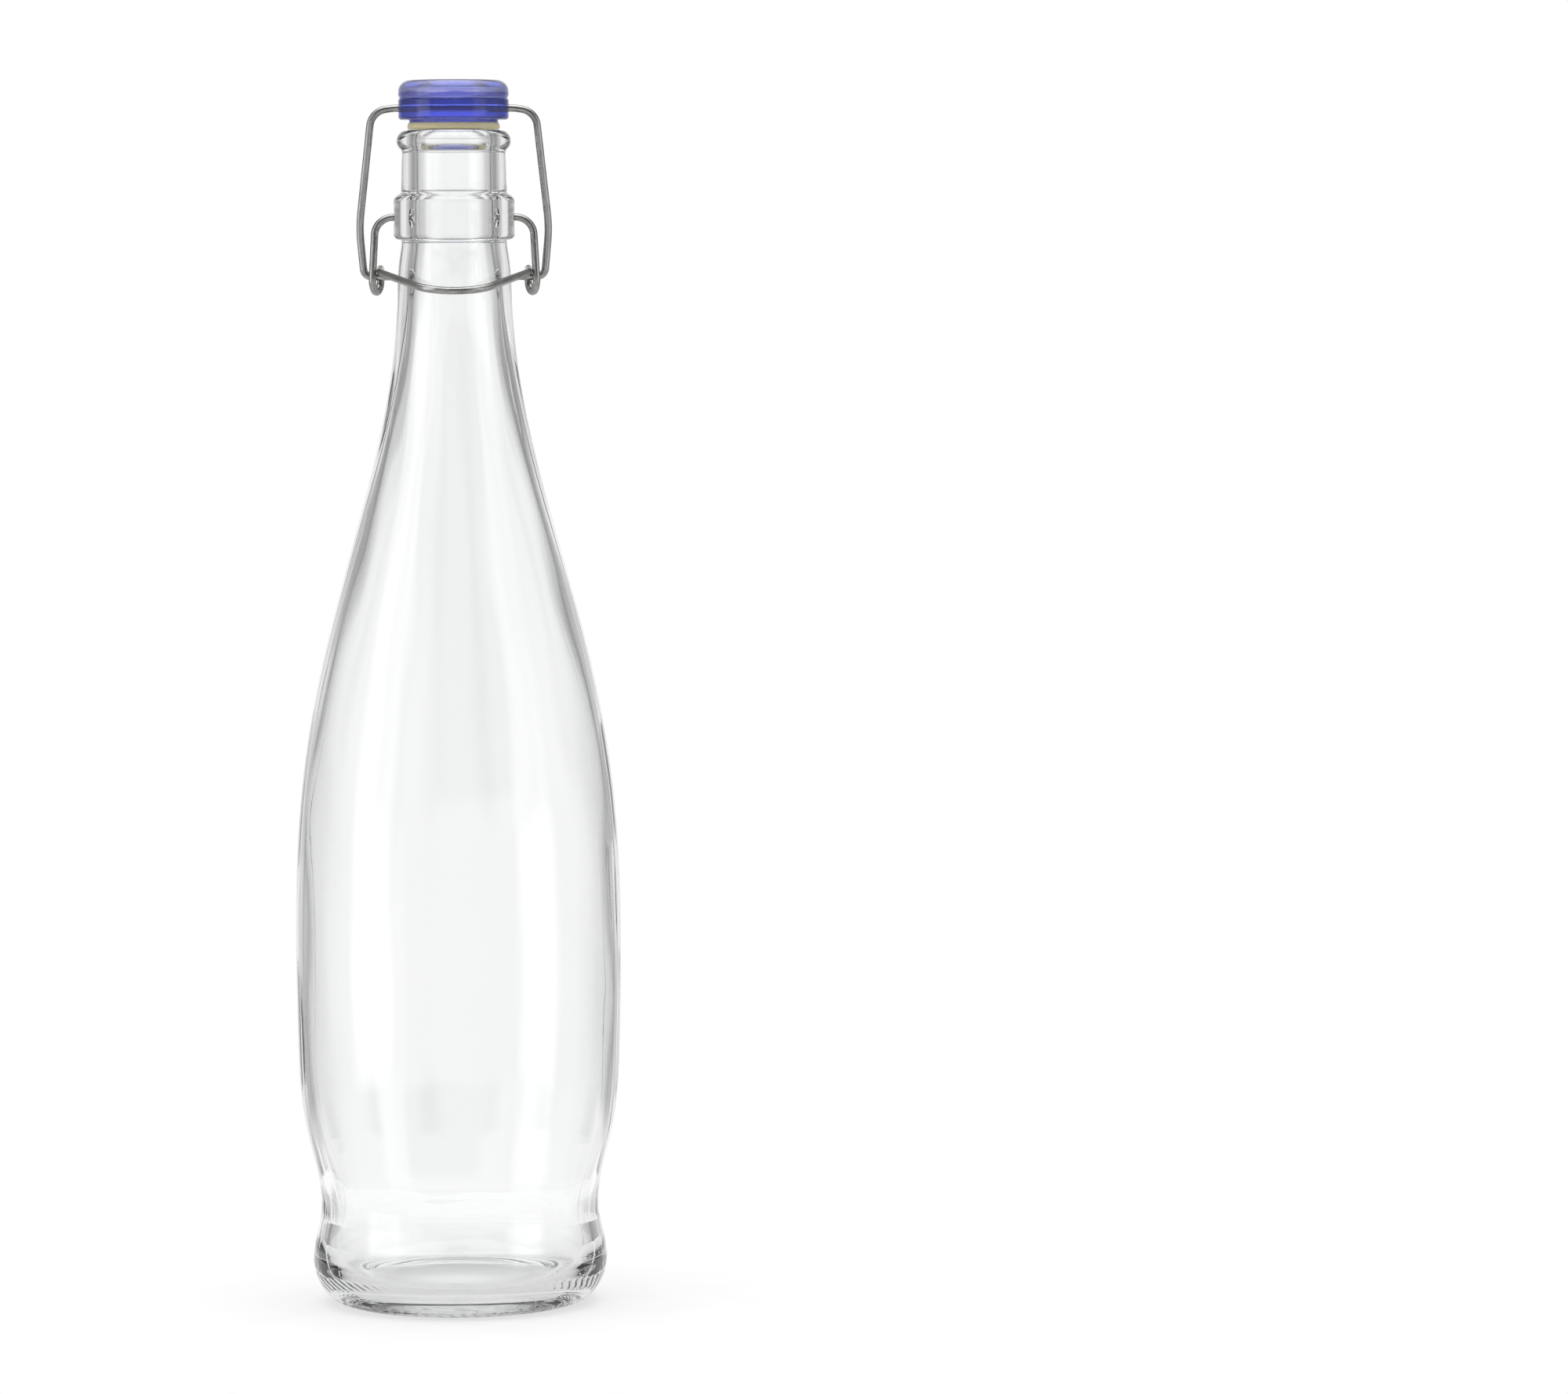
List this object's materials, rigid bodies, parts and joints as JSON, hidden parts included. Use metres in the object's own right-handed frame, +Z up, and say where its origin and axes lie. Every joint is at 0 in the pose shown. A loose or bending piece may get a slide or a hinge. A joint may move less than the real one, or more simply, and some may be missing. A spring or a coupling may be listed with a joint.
{
  "type": "swing top bottle",
  "caption": "Tall waisted clear glass bottle for about one litre, closed by a plastic stopper with a rubber gasket on a wire bail and over-centre lever.",
  "frame": {"origin": "centre of the flat ring that the base stands on", "axes": "+Z up the bottle's axis; X through the two pivot dimples; the lever's thumb bar is at -Y"},
  "size_m": [0.0894, 0.0894, 0.3358],
  "materials": {
    "glass": "clear, fire-polished",
    "wire": "drawn steel wire, dull bright",
    "stopper": "translucent moulded plastic, glossy",
    "gasket": "smooth soft rubber, cream"
  },
  "bodies": {
    "bottle": {"glass_bottle": "glass"},
    "lever": {"lever_wire": "wire"},
    "bail": {"bail_wire": "wire"},
    "stopper": {"stopper_head": "stopper", "gasket": "gasket"}
  },
  "joints": [
    {"name": "lever_swing", "type": "hinge", "parent": "bottle", "child": "lever", "pos_m": [0, 0, 0.2984], "axis": [-1, 0, 0], "range_deg": [0, 106]},
    {"name": "bail_swing", "type": "hinge", "parent": "lever", "child": "bail", "pos_m": [0, 0.0014, 0.2822], "axis": [-1, 0, 0], "range_deg": [-68.6, 0]},
    {"name": "stopper_tilt", "type": "hinge", "parent": "bail", "child": "stopper", "pos_m": [0, 0, 0.3281], "axis": [-1, 0, 0], "range_deg": [-37.5, 0]}
  ],
  "couplings": [
    {"joint": "bail_swing", "follows": "lever_swing", "ratio": -0.647},
    {"joint": "stopper_tilt", "follows": "lever_swing", "ratio": -0.353}
  ]
}
